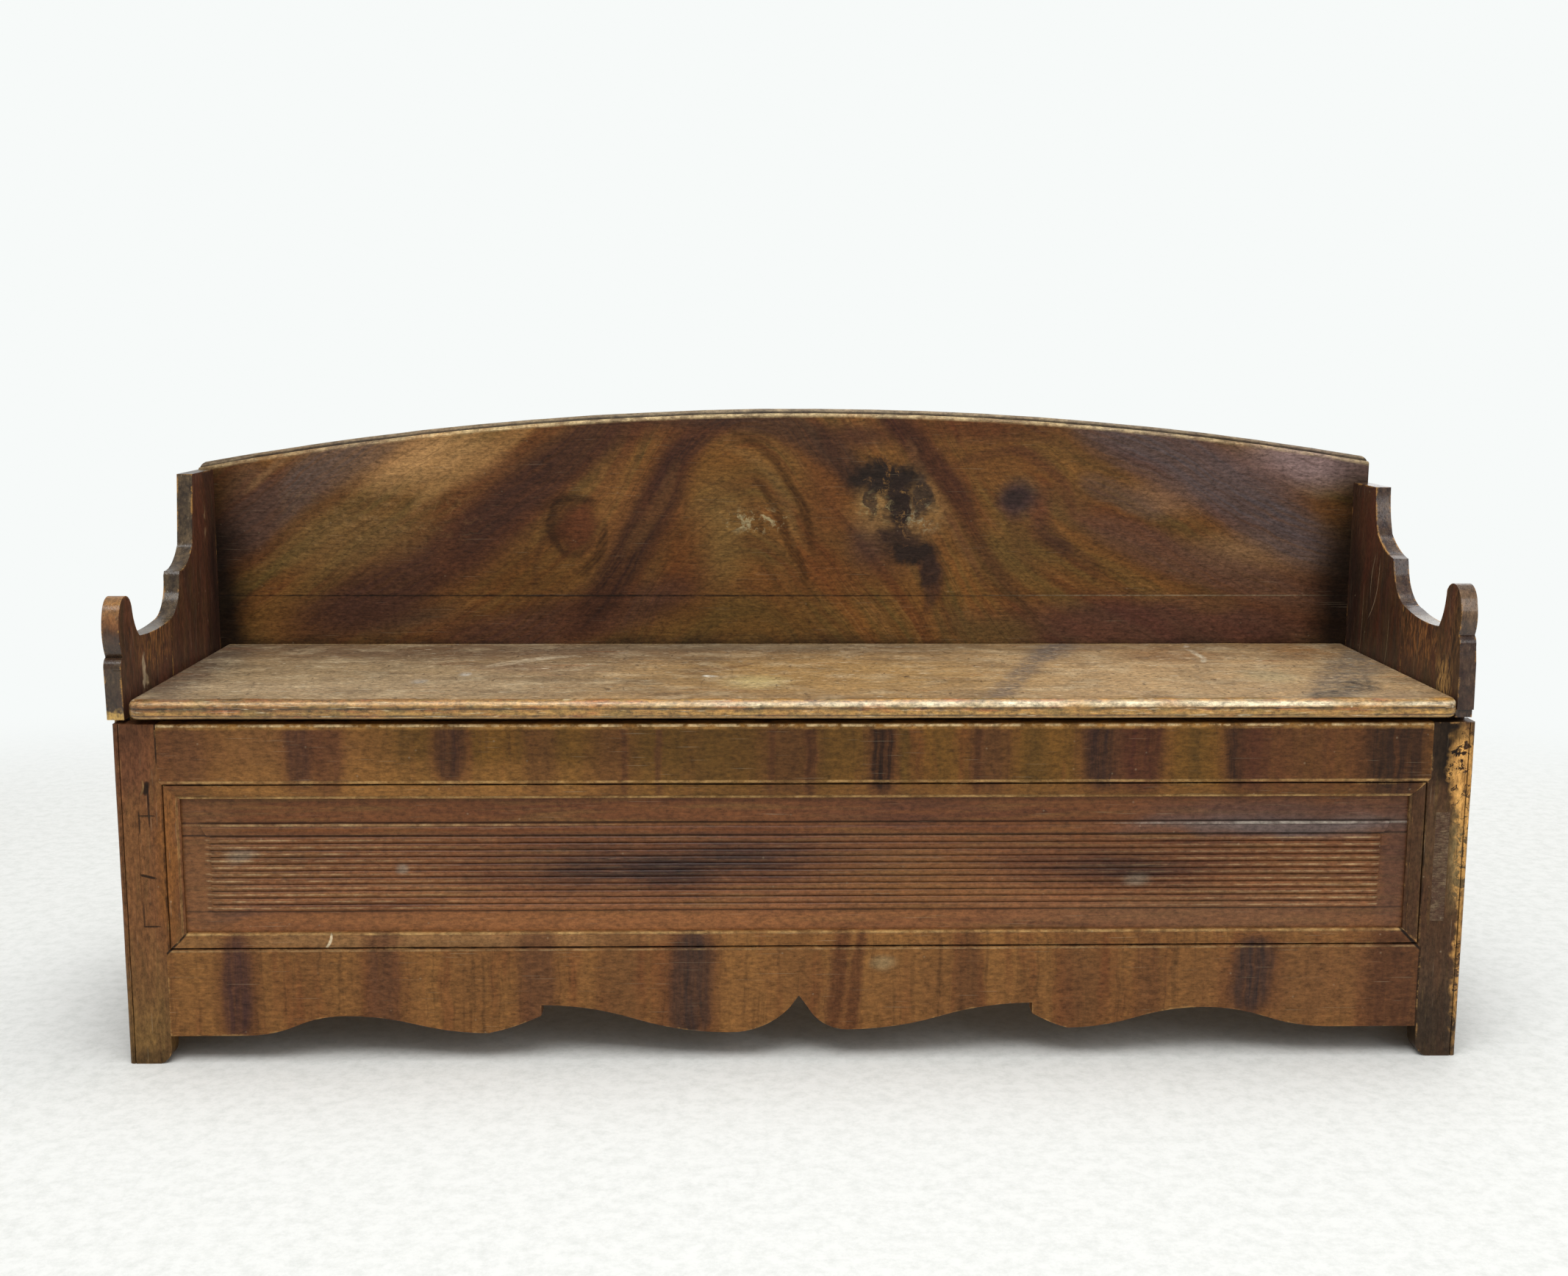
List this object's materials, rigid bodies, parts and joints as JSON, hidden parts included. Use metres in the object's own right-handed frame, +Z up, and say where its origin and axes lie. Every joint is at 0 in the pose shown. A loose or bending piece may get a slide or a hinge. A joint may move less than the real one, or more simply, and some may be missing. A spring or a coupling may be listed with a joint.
{
  "type": "settle bench",
  "caption": "Pull-out settle bench in grained pine: arched back, scrolled ends, lift-off seat lid, reeded front panel and scalloped apron; the front slides out to make a bed.",
  "frame": {"origin": "on the floor, under the middle of the bench's footprint", "axes": "+X along the seat to the sitter's left as seen from the front (right in the picture), -Y towards the front, +Z up"},
  "size_m": [1.7914, 0.487, 0.856],
  "materials": {
    "grained_paint": "oil paint grained over an ochre ground, worn satin",
    "worn_lid_paint": "the same paint worn thin by sitting",
    "bare_pine": "unpainted planed pine, aged",
    "nail_iron": "hand-forged, rusted dark"
  },
  "bodies": {
    "carcass": {"back_bottom_plank": "bare_pine", "back_middle_plank": "grained_paint", "back_nails": "nail_iron", "back_top_plank": "grained_paint", "fixed_slat_1": "bare_pine", "fixed_slat_2": "bare_pine", "fixed_slat_3": "bare_pine", "fixed_slat_4": "bare_pine", "fixed_slat_5": "bare_pine", "fixed_slat_6": "bare_pine", "fixed_slat_7": "bare_pine", "fixed_slat_8": "bare_pine", "fixed_slat_9": "bare_pine", "left_end_front_board": "grained_paint", "left_end_rear_board": "grained_paint", "left_lid_cleat": "bare_pine", "left_runner": "bare_pine", "rear_lid_cleat": "bare_pine", "rear_slat_ledge": "bare_pine", "right_end_front_board": "grained_paint", "right_end_rear_board": "grained_paint", "right_lid_cleat": "bare_pine", "right_runner": "bare_pine", "slat_bearer": "bare_pine"},
    "pull_out": {"left_front_stile": "grained_paint", "right_front_stile": "grained_paint", "front_top_rail": "grained_paint", "front_bottom_rail": "grained_paint", "front_panel": "grained_paint", "left_pull_out_side": "bare_pine", "right_pull_out_side": "bare_pine", "front_slat_ledge": "bare_pine", "left_pull_out_stop": "bare_pine", "right_pull_out_stop": "bare_pine", "left_tenon_wedge": "bare_pine", "sliding_slat_1": "bare_pine", "sliding_slat_2": "bare_pine", "sliding_slat_3": "bare_pine", "sliding_slat_4": "bare_pine", "sliding_slat_5": "bare_pine", "sliding_slat_6": "bare_pine", "sliding_slat_7": "bare_pine", "sliding_slat_8": "bare_pine"},
    "lid": {"lid_board": "worn_lid_paint", "left_lid_batten": "bare_pine", "right_lid_batten": "bare_pine"}
  },
  "joints": [
    {"name": "pull_out_slide", "type": "slide", "parent": "carcass", "child": "pull_out", "axis": [0, -1, 0], "range_m": [0, 0.346]},
    {"name": "lid_lift", "type": "slide", "parent": "carcass", "child": "lid", "axis": [0, 0, 1], "range_m": [0, 0.45]}
  ]
}
